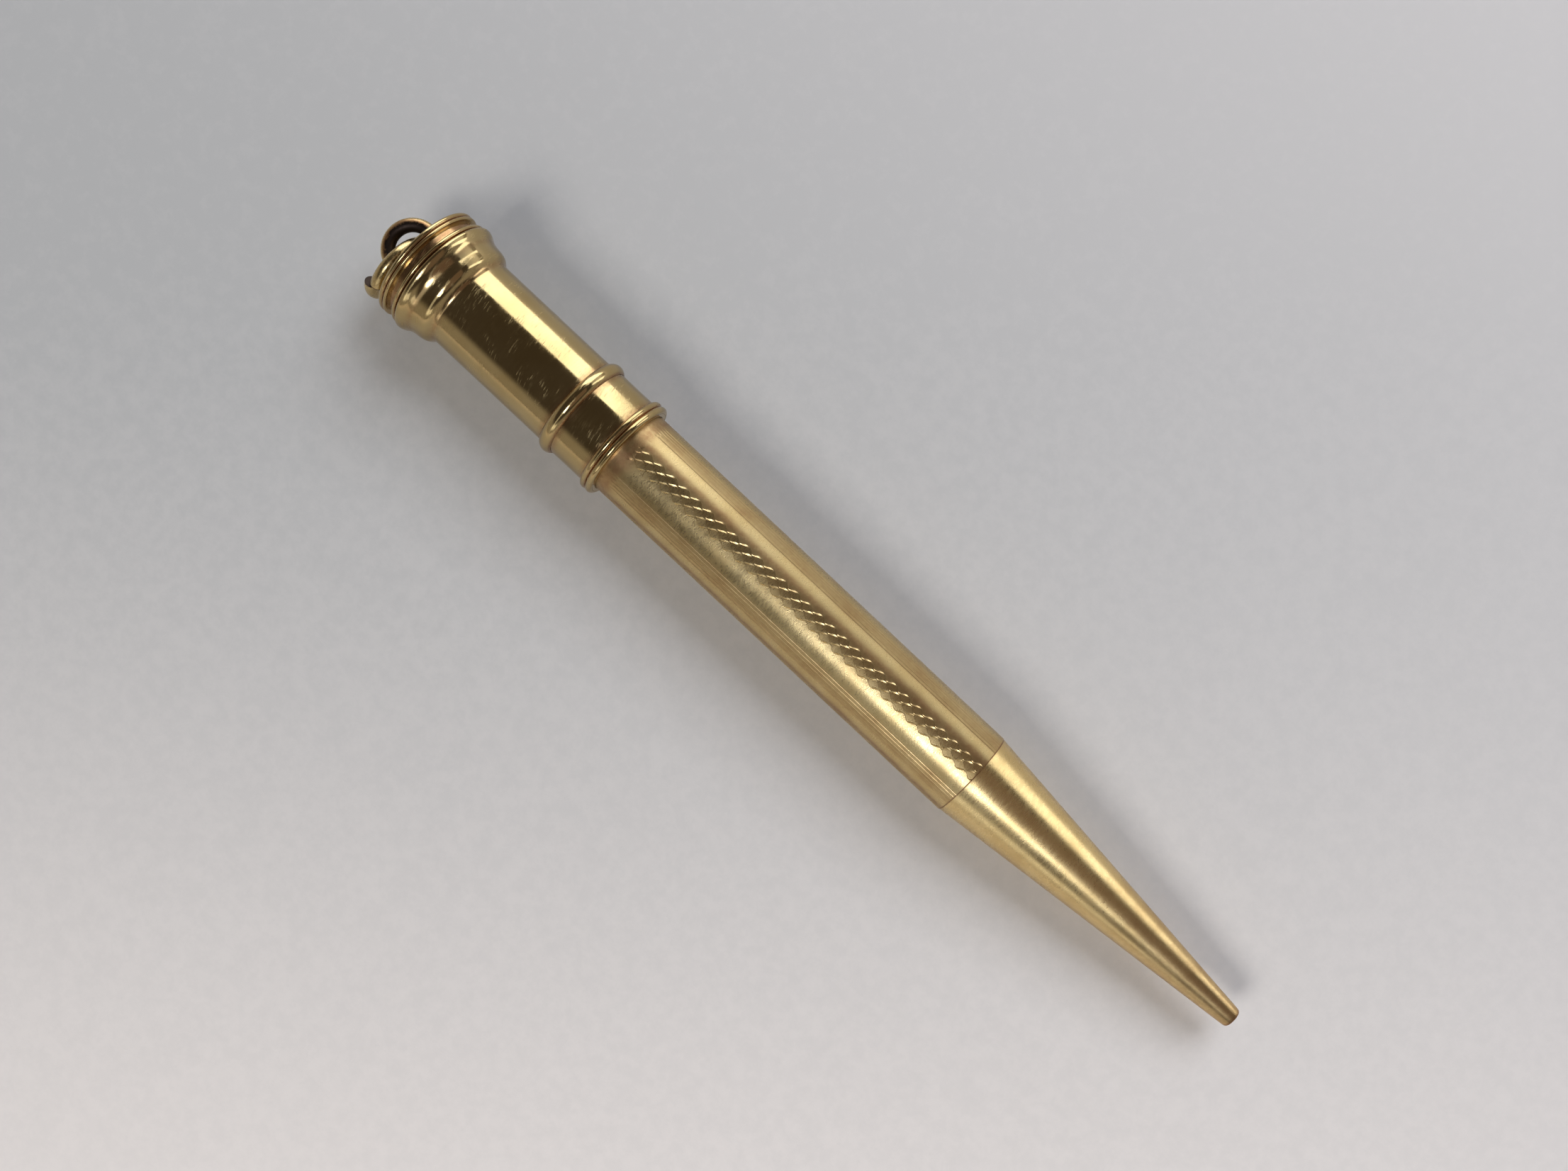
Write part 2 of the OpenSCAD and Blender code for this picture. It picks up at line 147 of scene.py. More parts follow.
# Tarnish and soot colours, which also paint shade on the bow and a brown reflection beside the waves
TARNISH_AND_SHADE_BROWN = (0.36, 0.20, 0.09, 1)
SOOT_AND_SHADE_BLACK = (0.035, 0.024, 0.018, 1)
BRASS = (0.62, 0.42, 0.16, 1)
BRASS_DEEP = (0.45, 0.28, 0.10, 1)
STEEL = (0.42, 0.42, 0.43, 1)
STEEL_DEEP = (0.30, 0.30, 0.31, 1)
GRAPHITE = (0.028, 0.029, 0.033, 1)
GRAPHITE_DEEP = (0.015, 0.015, 0.018, 1)
RUBBER = (0.42, 0.13, 0.08, 1)
RUBBER_DEEP = (0.30, 0.09, 0.06, 1)
# The floor's colours hold painted light and shade: shaded at the rear, lit at the front and at the sides
FLOOR_PAINTED_SHADE_REAR = (0.505, 0.519, 0.548, 1)
FLOOR_PAINTED_LIGHT_FRONT = (0.925, 0.89, 0.905, 1)
FLOOR_PAINTED_LIGHT_SIDES = (0.838, 0.814, 0.84, 1)
WALL = (0.36, 0.34, 0.325, 1)
CEILING = (0.068, 0.058, 0.052, 1)
COOL = (0.96, 1.02, 1.12)
SKY = (0.95, 1.03, 1.25)
WARM = (1, 0.72, 0.66)
MORNING = (0.97, 1.0, 1.03)
EVENING = (1.06, 1.0, 0.90)
BACKDROP = (0.52, 0.52, 0.52, 1)

# Dirt and painted shade on the gold: the value that makes it black, and the roughness that dirt and
# scratches add
BLACK_TARNISH_AND_SHADE = 1.3
DIRT_DULL = 0.22
SCRATCH_DULL = 0.04

# The room's walls end and its ceiling begins at these heights, as sines of the angle above level
WALL_TOP = 0.30
CEILING_FROM = 0.58

# Painted light and shade on the floor's card: darker towards the cap, paler towards the nose and away
# from its middle line
FLOOR_HALF = 3000
FLOOR_SHADE_ALONG = (0.672, -0.740, 0)
FLOOR_SHADE_FROM = -6
FLOOR_SHADE_TO = 112
FLOOR_PAINTED_LIGHT_MIDDLE = -28
FLOOR_PAINTED_LIGHT_REACH = 150
FLOOR_PAINTED_LIGHT_SHARE = 0.65
FLOOR_GRAIN = 0.05
FLOOR_ROUGHNESS = 0.8
FLOOR_SPECULAR = 0.1


def node_box(node):
    """Lowest and highest corner of a CAD node, in millimetres."""
    low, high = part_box(node)
    return low / MM, high / MM


class Nodes:
    """Short calls for building one node tree."""

    def __init__(self, tree):
        self.tree = tree

    def add(self, kind, **settings):
        node = self.tree.nodes.new("ShaderNode" + kind)
        for name, value in settings.items():
            setattr(node, name, value)
        return node

    def put(self, socket, value):
        """Links a socket to another, or sets its constant."""
        if isinstance(value, bpy.types.NodeSocket):
            self.tree.links.new(value, socket)
        else:
            socket.default_value = value

    def math(self, operation, first, second=0.0):
        node = self.add("Math", operation=operation)
        self.put(node.inputs[0], first)
        self.put(node.inputs[1], second)
        return node.outputs[0]

    def scaled(self, vector, by):
        node = self.add("VectorMath", operation="MULTIPLY")
        self.put(node.inputs[0], vector)
        self.put(node.inputs[1], by)
        return node.outputs[0]

    def turned(self, vector, angle, by):
        node = self.add("Mapping", vector_type="TEXTURE")
        self.put(node.inputs["Vector"], vector)
        node.inputs["Rotation"].default_value = (0, 0, angle)
        node.inputs["Scale"].default_value = [1 / each for each in by]
        return node.outputs[0]

    def noise(self, vector, scale, detail=3.0, roughness=0.55):
        node = self.add("TexNoise")
        self.put(node.inputs["Vector"], vector)
        self.put(node.inputs["Scale"], scale)
        self.put(node.inputs["Detail"], detail)
        self.put(node.inputs["Roughness"], roughness)
        return node.outputs["Fac"]

    def spread(self, value, low, high, to_low=0.0, to_high=1.0):
        node = self.add("MapRange", interpolation_type="SMOOTHSTEP")
        for socket, number in zip(node.inputs, (value, low, high, to_low, to_high)):
            self.put(socket, number)
        return node.outputs["Result"]

    def mix(self, factor, first, second):
        node = self.add("Mix", data_type="RGBA")
        self.put(node.inputs[0], factor)
        self.put(node.inputs[6], first)
        self.put(node.inputs[7], second)
        return node.outputs[2]

    def bump(self, height, distance, under=None):
        node = self.add("Bump")
        self.put(node.inputs["Height"], height)
        self.put(node.inputs["Distance"], distance * MM)
        if under is not None:
            self.put(node.inputs["Normal"], under)
        return node.outputs["Normal"]

    def place(self):
        """The point on the piece, in millimetres."""
        return self.scaled(self.add("TexCoord").outputs["Object"], (1 / MM,) * 3)

    def unrolled(self, place):
        """The point on the piece as (along the axis, round the axis, out from it)."""
        parts = self.add("SeparateXYZ")
        self.put(parts.inputs[0], place)
        x, y, z = parts.outputs
        angle = self.math("ARCTAN2", y, z)
        squares = self.math("ADD", self.math("MULTIPLY", y, y), self.math("MULTIPLY", z, z))
        out = self.math("SQRT", squares)
        around = self.math("MULTIPLY", angle, UNROLL_R)
        joined = self.add("CombineXYZ")
        for socket, value in zip(joined.inputs, (x, around, out)):
            self.put(socket, value)
        return joined.outputs[0]

    def attribute(self, name):
        return self.add("Attribute", attribute_name=name).outputs["Fac"]


def new_material(name):
    """A material's nodes and its shader."""
    material = bpy.data.materials.new(name)
    material.use_nodes = True
    nodes = Nodes(material.node_tree)
    return material, nodes, material.node_tree.nodes["Principled BSDF"]


def hairlines(nodes, unrolled, angle, across, along, low, high):
    """Fine short scratches at an angle to the round of the piece."""
    lines = nodes.noise(nodes.turned(unrolled, angle, (across, along, 0.5)), 1.0, 2.0)
    return nodes.spread(lines, low, high)


def gold(name, tone, shine, dull, brush, brush_depth, scratch_depth, scuff, patina):
    """Worn gold plate: cloudy colour, grimy crevices and painted shade, brush strokes, scratches and dull
    scuffs.
    """
    material, nodes, shader = new_material(name)
    place = nodes.place()
    unrolled = nodes.unrolled(place)
    cloud = nodes.noise(place, 0.32, 4.0)
    speck = nodes.noise(place, 2.6, 5.0, 0.65)
    # The tarnish value holds real stains, painted shade on the bow's wire and a painted reflection beside
    # the waves
    stains_and_painted_shade = nodes.attribute("tarnish_and_shade")
    grime_and_painted_shade = nodes.math("MULTIPLY", stains_and_painted_shade, nodes.spread(speck, 0.25, 0.62, 0.65, 1.15))
    film = nodes.math("MULTIPLY", nodes.spread(cloud, 0.45, 0.75), patina)
    dirt_and_painted_shade = nodes.math("MINIMUM", nodes.math("ADD", grime_and_painted_shade, film), 1.0)
    colour = nodes.scaled(nodes.mix(nodes.spread(cloud, 0.3, 0.7), GOLD, GOLD_DEEP), (tone,) * 3)
    stained = nodes.mix(nodes.spread(dirt_and_painted_shade, 0.0, 0.6), colour, TARNISH_AND_SHADE_BROWN)
    nodes.put(shader.inputs["Base Color"], nodes.mix(nodes.spread(dirt_and_painted_shade, 0.6, 1.0), stained, SOOT_AND_SHADE_BLACK))
    shader.inputs["Metallic"].default_value = 1.0

    patches = nodes.spread(nodes.noise(place, 0.45, 2.0), 0.34, 0.56)
    first = hairlines(nodes, unrolled, math.radians(38), 11.0, 1.5, 0.36, 0.7)
    second = hairlines(nodes, unrolled, math.radians(-25), 13.0, 1.7, 0.36, 0.7)
    scratches = nodes.math("MULTIPLY", nodes.math("MAXIMUM", first, second), patches)
    strokes = nodes.noise(nodes.scaled(unrolled, brush), 1.0, 3.0, 0.6)
    waviness = nodes.noise(place, 0.22, 1.5)
    clusters = nodes.spread(nodes.noise(place, 0.55, 2.0), 0.42, 0.62)
    rubs = hairlines(nodes, unrolled, math.radians(12), 8.0, 1.1, 0.48, 0.72)
    scuffs = nodes.math("MULTIPLY", rubs, clusters)

    rough = nodes.spread(strokes, 0.38, 0.62, shine, dull)
    rough = nodes.math("ADD", rough, nodes.math("MULTIPLY", scratches, SCRATCH_DULL))
    rough = nodes.math("ADD", rough, nodes.math("MULTIPLY", scuffs, scuff))
    rough = nodes.math("ADD", rough, nodes.math("MULTIPLY", dirt_and_painted_shade, DIRT_DULL))
    nodes.put(shader.inputs["Roughness"], rough)
    normal = nodes.bump(waviness, 0.02)
    normal = nodes.bump(strokes, brush_depth, under=normal)
    nodes.put(shader.inputs["Normal"], nodes.bump(scratches, scratch_depth, under=normal))
    return material


def turned_metal(name, bright, deep, shine):
    """Inner metal parts: turning marks round the axis and a slight oxide film."""
    material, nodes, shader = new_material(name)
    place = nodes.place()
    unrolled = nodes.unrolled(place)
    cloud = nodes.noise(place, 0.6, 4.0)
    marks = nodes.noise(nodes.scaled(unrolled, (22, 0.35, 22)), 1.0, 3.0)
    nodes.put(shader.inputs["Base Color"], nodes.mix(nodes.spread(cloud, 0.3, 0.72), bright, deep))
    shader.inputs["Metallic"].default_value = 1.0
    nodes.put(shader.inputs["Roughness"], nodes.spread(cloud, 0.25, 0.75, shine, shine + 0.14))
    nodes.put(shader.inputs["Normal"], nodes.bump(marks, 0.004))
    return material


def matt(name, bright, deep, roughness, grain, depth):
    """Rubber or graphite: a fine even grain with cloudy colour."""
    material, nodes, shader = new_material(name)
    place = nodes.place()
    cloud = nodes.noise(place, 0.9, 5.0)
    fine = nodes.noise(place, grain, 4.0, 0.6)
    nodes.put(shader.inputs["Base Color"], nodes.mix(nodes.spread(cloud, 0.3, 0.7), bright, deep))
    rough = nodes.spread(fine, 0.3, 0.7, roughness - 0.08, roughness + 0.08)
    nodes.put(shader.inputs["Roughness"], rough)
    nodes.put(shader.inputs["Normal"], nodes.bump(fine, depth))
    return material


def floor_card():
    """Smooth pale card, with painted shade drifting along it, painted light away from its middle line and
    a faint grain.
    """
    material, nodes, shader = new_material("floor_card")
    place = nodes.place()
    drift = nodes.add("VectorMath", operation="DOT_PRODUCT")
    nodes.put(drift.inputs[0], place)
    nodes.put(drift.inputs[1], FLOOR_SHADE_ALONG)
    shade = nodes.spread(drift.outputs["Value"], FLOOR_SHADE_FROM, FLOOR_SHADE_TO)
    grain = nodes.spread(nodes.noise(place, 0.7, 5.0, 0.7), 0.3, 0.7, -FLOOR_GRAIN, FLOOR_GRAIN)
    parts = nodes.add("SeparateXYZ")
    nodes.put(parts.inputs[0], place)
    painted_light_beside = nodes.math("ABSOLUTE", nodes.math("SUBTRACT", parts.outputs["Y"], FLOOR_PAINTED_LIGHT_MIDDLE))
    painted_light_beside = nodes.spread(painted_light_beside, 0.0, FLOOR_PAINTED_LIGHT_REACH, 0.0, FLOOR_PAINTED_LIGHT_SHARE)
    # Painted shade towards the cap and painted light towards the nose, then painted light away from the
    # middle line
    colour = nodes.mix(nodes.math("ADD", shade, grain), FLOOR_PAINTED_SHADE_REAR, FLOOR_PAINTED_LIGHT_FRONT)
    nodes.put(shader.inputs["Base Color"], nodes.mix(painted_light_beside, colour, FLOOR_PAINTED_LIGHT_SIDES))
    shader.inputs["Roughness"].default_value = FLOOR_ROUGHNESS
    shader.inputs["Specular IOR Level"].default_value = FLOOR_SPECULAR
    return material


def grid_faces(rows, columns, closed_rows):
    """Quads of a grid closed round its columns, and closed round its rows or else by two flat ends."""
    row = np.arange(rows if closed_rows else rows - 1)[:, None]
    column = np.arange(columns)[None, :]
    next_row = (row + 1) % rows
    next_column = (column + 1) % columns
    corners = (
        row * columns + column,
        next_row * columns + column,
        next_row * columns + next_column,
        row * columns + next_column,
    )
    faces = np.stack(corners, axis=-1).reshape(-1, 4).tolist()
    if not closed_rows:
        last = (rows - 1) * columns
        faces += [list(range(columns)), list(range(last, last + columns))]
    return faces


def make_piece(name, points, faces, tarnish_and_shade):
    """A smooth mesh piece from points in millimetres, with a tarnish and painted shade value at each
    point.
    """
    mesh = bpy.data.meshes.new(name)
    mesh.from_pydata((np.asarray(points) * MM).tolist(), [], faces, shade_flat=False)
    layer = mesh.attributes.new("tarnish_and_shade", "FLOAT", "POINT")
    layer.data.foreach_set("value", np.asarray(tarnish_and_shade, np.float32).ravel())
    turn_outwards(mesh)
    mesh.set_sharp_from_angle(angle=SHARP_ANGLE)
    piece = bpy.data.objects.new(name, mesh)
    bpy.context.scene.collection.objects.link(piece)
    return piece


def turn_outwards(mesh):
    """Makes every face of a closed mesh point out of it."""
    work = bmesh.new()
    work.from_mesh(mesh)
    bmesh.ops.recalc_face_normals(work, faces=work.faces)
    work.to_mesh(mesh)
    work.free()


def stains_at(stains, x):
    """How tarnished the metal is at each x, from stains given as (x, reach, strength)."""
    value = np.zeros(len(x))
    for at, reach, strength in stains:
        value = np.maximum(value, strength * np.exp(-(((x - at) / reach) ** 2)))
    return value


def arc(middle, radius, start, end, steps=12):
    """Points (x, r) on an arc, with its angles in degrees from +X towards the outside."""
    angles = np.radians(np.linspace(start, end, steps + 1))
    return [(middle[0] + radius * math.cos(a), middle[1] + radius * math.sin(a)) for a in angles]


def in_short_steps(outline, closed):
    """The outline with points added on its long straight runs."""
    ends = outline[1:] + outline[:1] if closed else outline[1:]
    points = []
    for here, after in zip(outline, ends):
        steps = max(1, math.ceil(math.dist(here, after) / LATHE_STEP))
        points += np.linspace(here, after, steps, endpoint=False).tolist()
    return points if closed else points + [list(outline[-1])]


def lathe(name, outline, stains=(), solid=False):
    """A piece turned about the X axis from an outline of (x, r), closed or, if solid, with flat ends."""
    x, r = np.array(in_short_steps(outline, not solid)).T
    angle = np.arange(SEGMENTS) * TURN / SEGMENTS
    ring_x = np.repeat(x, SEGMENTS)
    ring_y = np.outer(r, np.sin(angle)).ravel()
    ring_z = np.outer(r, np.cos(angle)).ravel()
    faces = grid_faces(len(x), SEGMENTS, not solid)
    return make_piece(name, np.stack((ring_x, ring_y, ring_z), axis=1), faces, stains_at(stains, ring_x))


def dress(piece, body, node, slot):
    """Lets a new piece stand for its CAD node, on that node's body and with that slot's finish."""
    piece.data.materials.append(FINISH[slot])
    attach(piece, body)
    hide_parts(node)


def make_nose():
    """The tapered nose with its rounded tip, lead bore and hollow rear."""
    low, high = node_box("nose_cone")
    tip_x, seam_x, seam_r = high.x, low.x, high.z
    lead_bore_r = node_box("lead")[1].z + SLIDE_GAP
    taper = (seam_r - TIP_R) / (tip_x - seam_x)

    def cone_r(behind_tip):
        return TIP_R + taper * behind_tip

    socket_x = seam_x + SOCKET_LEN
    socket_r = cone_r(tip_x - socket_x) - NOSE_WALL
    outline = [(tip_x - TIP_BORE_LEN, lead_bore_r), (tip_x, lead_bore_r)]
    outline += arc((tip_x - TIP_ROUND, TIP_R - TIP_ROUND), TIP_ROUND, 0, 86, 8)
    outline += [
        (tip_x - 2 * TIP_ROUND, cone_r(2 * TIP_ROUND)),
        (seam_x + 2 * SEAM_STAIN, cone_r(tip_x - seam_x - 2 * SEAM_STAIN)),
        (seam_x + SEAM_BEVEL, seam_r),
        (seam_x, seam_r - SEAM_BEVEL),
        (seam_x, socket_r),
        (socket_x, socket_r),
        (tip_x - NOSE_SOLID_LEN, cone_r(NOSE_SOLID_LEN) - NOSE_WALL),
        (tip_x - NOSE_SOLID_LEN, LEAD_TUBE_SEAT_R),
        (tip_x - TIP_BORE_LEN, LEAD_TUBE_SEAT_R),
    ]
    stains = [(tip_x, 0.25, 0.7), (tip_x, 16, 0.26), (seam_x, SEAM_STAIN, 0.6)]
    dress(lathe("nose", outline, stains), "barrel", "nose_cone", "gold_satin")


def barrel_columns(radius):
    """The barrel's columns as (angle, distance from a cut's bottom, depth, on a wave, shift, shade)."""
    columns = []
    for panel in range(PANELS):
        wave_middle = PANEL_TURN + panel * TURN / PANELS
        line_middle = wave_middle + TURN / PANELS / 2
        for row in range(WAVE_ROWS):
            middle = wave_middle + (row - (WAVE_ROWS - 1) / 2) * WAVE_ROW_PITCH / radius
            columns += cut_columns(middle, radius, WAVE_CUT, (1, row * math.pi, 0.0))
        for line in range(LINES):
            middle = line_middle + (line - (LINES - 1) / 2) * LINE_PITCH / radius
            columns += cut_columns(middle, radius, LINE_CUT, (0, 0.0, LINES_SHADE))
    return fill_plain(sorted(columns))


def cut_columns(middle, radius, cut, facts):
    """The bottom of one cut and its two edges, for a cut given as (edge, edge, depth)."""
    edges = [(middle + edge / radius, edge, 0.0, *facts) for edge in cut[:2]]
    return edges + [(middle, 0.0, cut[2], *facts)]


def fill_plain(columns):
    """Adds plain columns, with the lesser shade of both sides, where neighbours stand far apart."""
    filled = []
    ends = columns[1:] + [(columns[0][0] + TURN, *columns[0][1:])]
    for here, after in zip(columns, ends):
        filled.append(here)
        gap = after[0] - here[0]
        steps = math.ceil(gap / PLAIN_STEP)
        for step in range(1, steps):
            shade = min(here[-1], after[-1])
            filled.append((here[0] + gap * step / steps, 0.0, 0.0, 0, 0.0, shade))
    return filled


def make_barrel():
    """The barrel tube, with rows of leaning waves and groups of straight lines cut into it."""
    low, high = node_box("barrel_tube")
    radius = high.z
    mouth_x = node_box("cap_band")[1].x
    seam_x = high.x
    first_x, last_x = mouth_x + PATTERN_MARGIN, seam_x - SEAM_BEVEL
    rows = math.ceil((last_x - first_x) / CUT_STEP)
    x = np.concatenate(([low.x], np.linspace(first_x, last_x, rows), [seam_x]))
    columns = barrel_columns(radius)
    base, edge, cut, on_wave, shift, shade = (np.array(values)[None, :] for values in zip(*columns))
    fade = np.clip((x - first_x) / PATTERN_FADE, 0, 1)[:, None]
    phase = TURN * x[:, None] / WAVE_LENGTH + shift
    wave = on_wave * fade * WAVE_HEIGHT * np.sin(phase + WAVE_LEAN * np.sin(phase))
    # A wave's cut is broad where it climbs round the barrel and fine where it falls back
    climb = (0.5 + 0.5 * np.cos(phase)) ** WAVE_SWELL_POWER
    breadth = np.where(on_wave > 0, WAVE_FINE + WAVE_SWELL * climb, 1.0)
    depth = cut * breadth * fade
    depth[-1] = SEAM_BEVEL
    bore = np.full((2, base.shape[1]), radius - BARREL_WALL)
    angle = np.concatenate((base + (wave + edge * (breadth - 1)) / radius, np.repeat(base, 2, axis=0)))
    out = np.concatenate((radius - depth, bore))
    along = np.repeat(np.concatenate((x, [seam_x, low.x])), base.shape[1])
    points = np.stack((along, (out * np.sin(angle)).ravel(), (out * np.cos(angle)).ravel()), axis=1)

    stains = stains_at([(mouth_x, 1.5, 0.55), (seam_x, SEAM_STAIN, 0.5)], along)
    # Cut bottoms and line groups are darkened, and a painted brown reflection lies beside the waves
    shades = np.maximum(CUT_SHADE * (cut > 0), np.maximum(shade, painted_band_beside_waves(base, radius))) * fade
    shades = np.concatenate((shades, np.zeros_like(bore))).ravel()
    faces = grid_faces(len(out), base.shape[1], True)
    piece = make_piece("barrel", points, faces, np.maximum(stains, shades))
    dress(piece, "barrel", "barrel_tube", "gold_engraved")


def painted_band_beside_waves(angle, radius):
    """A painted brown reflection of a warm ceiling, on the plain strip along one side of the waves."""
    panel = TURN / PANELS
    from_middle = ((angle - PANEL_TURN + panel / 2) % panel - panel / 2) * radius
    return PAINTED_BAND_SHADE * np.exp(-(((from_middle - PAINTED_BAND_AT) / PAINTED_BAND_REACH) ** 2))


def make_band():
    """The plain sleeve at the mouth of the cap; it is bare."""
    low, high = node_box("cap_band")
    band_r = high.z
    tube_x = node_box("cap_tube")[1].x
    tube_r = CAP_R + BEAD_SEAT
    bore_r = node_box("barrel_tube")[1].z + SLIDE_GAP
    outline = [(high.x, bore_r), (high.x, band_r), (low.x, band_r), (low.x, tube_r)]
    outline += [(tube_x, tube_r), (tube_x, bore_r)]
    lip_x, bead_x = node_box("lip_bead")[0].x, node_box("upper_bead")[1].x
    stains = [(lip_x, 0.3, 0.5), (bead_x, 0.35, 0.45)]
    dress(lathe("band", outline, stains), "cap", "cap_band", "gold_polished")


def make_lip_bead():
    """The fine double bead round the mouth of the cap."""
    low, high = node_box("lip_bead")
    ridge_r = high.z - LIP_RIDGE_R
    bore_r = node_box("cap_band")[1].z + BEAD_SEAT
    front_x = high.x - LIP_RIDGE_R
    meet = math.degrees(math.acos(LIP_RIDGE_PITCH / 2 / LIP_RIDGE_R))
    outline = [(high.x, bore_r)]
    outline += arc((front_x, ridge_r), LIP_RIDGE_R, 0, 180 - meet)
    outline += arc((front_x - LIP_RIDGE_PITCH, ridge_r), LIP_RIDGE_R, meet, 180)[1:]
    outline += [(low.x, bore_r)]
    stains = [(front_x - LIP_RIDGE_PITCH / 2, 0.12, 0.6), (low.x, 0.12, 0.7)]
    dress(lathe("lip_beading", outline, stains), "cap", "lip_bead", "gold_polished")


def make_upper_bead():
    """The single bead at the rear of the band."""
    low, high = node_box("upper_bead")
    half_w = (high.x - low.x) / 2
    bore_r = node_box("cap_band")[1].z + BEAD_SEAT
    rise = high.z - bore_r
    round_r = (half_w ** 2 + rise ** 2) / (2 * rise)
    start = math.degrees(math.asin((bore_r - high.z + round_r) / round_r))
    outline = arc((low.x + half_w, high.z - round_r), round_r, start, 180 - start, 24)
    stains = [(low.x, 0.15, 0.6), (high.x, 0.15, 0.6)]
    dress(lathe("upper_beading", outline, stains), "cap", "upper_bead", "gold_polished")


def bell_side(top_r):
    """Points (x, r) of the bell's side, added up from its slopes, from the tube back to the bulge."""
    at, slopes = np.array(BELL_SLOPES).T
    x = np.linspace(at[0], at[-1], BELL_STEPS)
    drop = np.cumsum(np.interp(x, at, slopes))
    r = top_r - drop * (top_r - CAP_R) / drop[-1]
    return list(zip(x.tolist(), r.tolist()))[::-1]


def make_cap():
    """The drawn tube with its belled end: neck, shoulder, waist, bulge and thin rim."""
    low, high = node_box("cap_tube")
    rim_x = low.x
    rim_mid = (rim_x + RIM_ROUND, RIM_R - RIM_ROUND)
    outline = [(high.x, CAP_BORE_R), (high.x, CAP_R)]
    outline += bell_side(high.z)
    outline += arc((BULGE_X, high.z - BULGE_ROUND), BULGE_ROUND, 90, 180)[1:]
    outline += [(BULGE_X - BULGE_ROUND, rim_mid[1])]
    outline += arc(rim_mid, RIM_ROUND, 0, 180)
    outline += [
        (rim_x, BELL_BORE_R),
        (rim_x + CROWN_SPIGOT_LEN, BELL_BORE_R),
        (rim_x + CROWN_SPIGOT_LEN, CAP_BORE_R),
    ]
    bead_x = node_box("upper_bead")[0].x
    stains = [
        (bead_x, 0.35, 0.4),
        (NECK_X, 0.35, 0.3),
        (WAIST_X, 0.3, 0.25),
        (rim_x + 2 * RIM_ROUND, 0.1, 0.75),
    ]
    dress(lathe("cap", outline, stains), "cap", "cap_tube", "gold_polished")


def make_crown():
    """The end disc: a spigot, a grooved neck, a fine ridge and the end ridge."""
    low, high = node_box("crown")
    rim_x = high.x - CROWN_SPIGOT_LEN
    end_x = low.x + CROWN_END_R
    ridge_x = low.x + 2 * CROWN_END_R + CROWN_RIDGE_R
    spigot_r = BELL_BORE_R - BEAD_SEAT
    outline = [(high.x, spigot_r), (rim_x, spigot_r), (rim_x, CROWN_GROOVE_R)]
    outline += [(ridge_x + CROWN_RIDGE_R, CROWN_GROOVE_R)]
    outline += arc((ridge_x, high.z - CROWN_RIDGE_R), CROWN_RIDGE_R, 0, 180)
    outline += arc((end_x, high.z - CROWN_END_R), CROWN_END_R, 0, 180)
    stains = [(ridge_x - CROWN_RIDGE_R, 0.12, 0.65), ((ridge_x + CROWN_RIDGE_R + rim_x) / 2, 0.3, 0.6)]
    dress(lathe("crown_disc", outline, stains, solid=True), "cap", "crown", "gold_polished")


def sweep_wire(middles, outs, over, wire_r):
    """Points of round wire along middles, with the direction out of the curve at each and one over it."""
    side = np.arange(WIRE_SIDES) * TURN / WIRE_SIDES
    out_part = np.cos(side)[None, :, None] * outs[:, None, :]
    over_part = np.sin(side)[None, :, None] * np.array(over)
    return (middles[:, None, :] + wire_r * (out_part + over_part)).reshape(-1, 3)


def make_bow():
    """The bow's wire, blackened by painted shade and some tarnish on all but its outer side, which stays
    bright.
    """
    wire_r = node_box("bow")[1].z
    turns = np.arange(SEGMENTS) * TURN / SEGMENTS
    outs = np.stack((np.cos(turns), np.sin(turns), np.zeros(SEGMENTS)), axis=1)
    points = sweep_wire(BOW_R * outs, outs, (0, 0, 1), wire_r)
    inwards = -np.cos(np.arange(WIRE_SIDES) * TURN / WIRE_SIDES)
    # Painted shade, with some tarnish, blackens the wire on all but its outer side
    tarnish_and_shade = np.tile(np.clip((inwards + BOW_SHADE_REACH) / BOW_SHADE_FADE, 0, BLACK_TARNISH_AND_SHADE), SEGMENTS)
    piece = make_piece("bow_ring", points, grid_faces(SEGMENTS, WIRE_SIDES, True), tarnish_and_shade)
    dress(piece, "cap", "bow", "gold_wire")


def make_jump_ring():
    """The split ring, sprung a little sideways so that its ends pass each other."""
    low, high = node_box("jump_ring")
    wire_r = (high.x - low.x) / 2
    ring_r = (high.y - low.y) / 2 - wire_r
    ring_mid = np.array((low + high) / 2)
    half_cut = RING_CUT / 2 / ring_r
    turns = np.linspace(RING_CUT_ANGLE + half_cut, RING_CUT_ANGLE + TURN - half_cut, SEGMENTS)
    outs = np.stack((np.zeros(SEGMENTS), -np.sin(turns), np.cos(turns)), axis=1)
    slide = np.linspace(RING_TWIST_REAR, RING_TWIST_FRONT, SEGMENTS)
    middles = ring_mid + ring_r * outs + slide[:, None] * np.array((1, 0, 0))
    points = sweep_wire(middles, outs, (1, 0, 0), wire_r)
    tarnish_and_shade = np.zeros((SEGMENTS, WIRE_SIDES))
    tarnish_and_shade[[0, -1]] = BLACK_TARNISH_AND_SHADE
    piece = make_piece("jump_ring_wire", points, grid_faces(SEGMENTS, WIRE_SIDES, False), tarnish_and_shade)
    dress(piece, "jump_ring", "jump_ring", "gold_wire")


def make_lead():
    """The lead, with its writing end worn to a blunt point."""
    low, high = node_box("lead")
    outline = [
        (low.x, high.z),
        (high.x - LEAD_CHAMFER, high.z),
        (high.x - LEAD_CHAMFER / 2, high.z * LEAD_SHOULDER),
        (high.x, high.z * LEAD_POINT),
    ]
    dress(lathe("lead_stick", outline, solid=True), "feed", "lead", "graphite")


